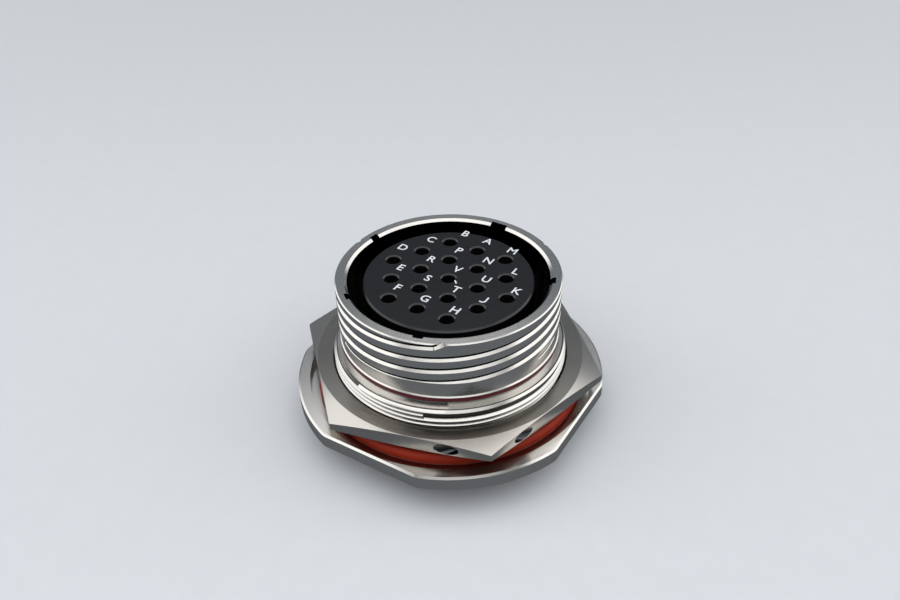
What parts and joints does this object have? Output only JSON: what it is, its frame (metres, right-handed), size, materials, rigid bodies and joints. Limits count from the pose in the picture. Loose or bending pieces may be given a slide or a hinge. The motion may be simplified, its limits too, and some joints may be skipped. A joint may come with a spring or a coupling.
{
  "type": "circular jam-nut panel receptacle",
  "caption": "Round metal panel receptacle with a flat-sided flange, seal ring, hexagon jam nut, three-start coupling thread, five keyways and lettered socket contacts in a black insert.",
  "frame": {"origin": "on the shell's axis, in the flange's front face, which the panel lies on", "axes": "+Z out of the mating face along the shell's axis; +Y towards the master keyway"},
  "size_m": [0.0566, 0.0566, 0.0315],
  "materials": {
    "shell_metal": "turned stainless steel, passivated",
    "nut_metal": "face-turned stainless steel",
    "seal_rubber": "moulded silicone rubber, satin",
    "insert_plastic": "moulded thermoset, semi-gloss",
    "plate_plastic": "moulded thermoset, matte",
    "grommet_rubber": "moulded silicone rubber, matte",
    "contact_metal": "gold plate over copper alloy"
  },
  "bodies": {
    "receptacle": {"shell": "shell_metal", "flange_seal": "seal_rubber", "socket_insert": "insert_plastic", "clip_plate": "plate_plastic", "wire_grommet": "grommet_rubber", "contact_V": "contact_metal", "contact_U": "contact_metal", "contact_N": "contact_metal", "contact_P": "contact_metal", "contact_R": "contact_metal", "contact_S": "contact_metal", "contact_T": "contact_metal", "contact_L": "contact_metal", "contact_A": "contact_metal", "contact_C": "contact_metal", "contact_E": "contact_metal", "contact_G": "contact_metal", "contact_J": "contact_metal", "contact_K": "contact_metal", "contact_M": "contact_metal", "contact_B": "contact_metal", "contact_D": "contact_metal", "contact_F": "contact_metal", "contact_H": "contact_metal"},
    "nut": {"jam_nut": "nut_metal"}
  },
  "joints": [
    {"name": "nut_travel", "type": "slide", "parent": "receptacle", "child": "nut", "axis": [0, 0, 1], "range_m": [-0.0011, 0.0229]}
  ]
}
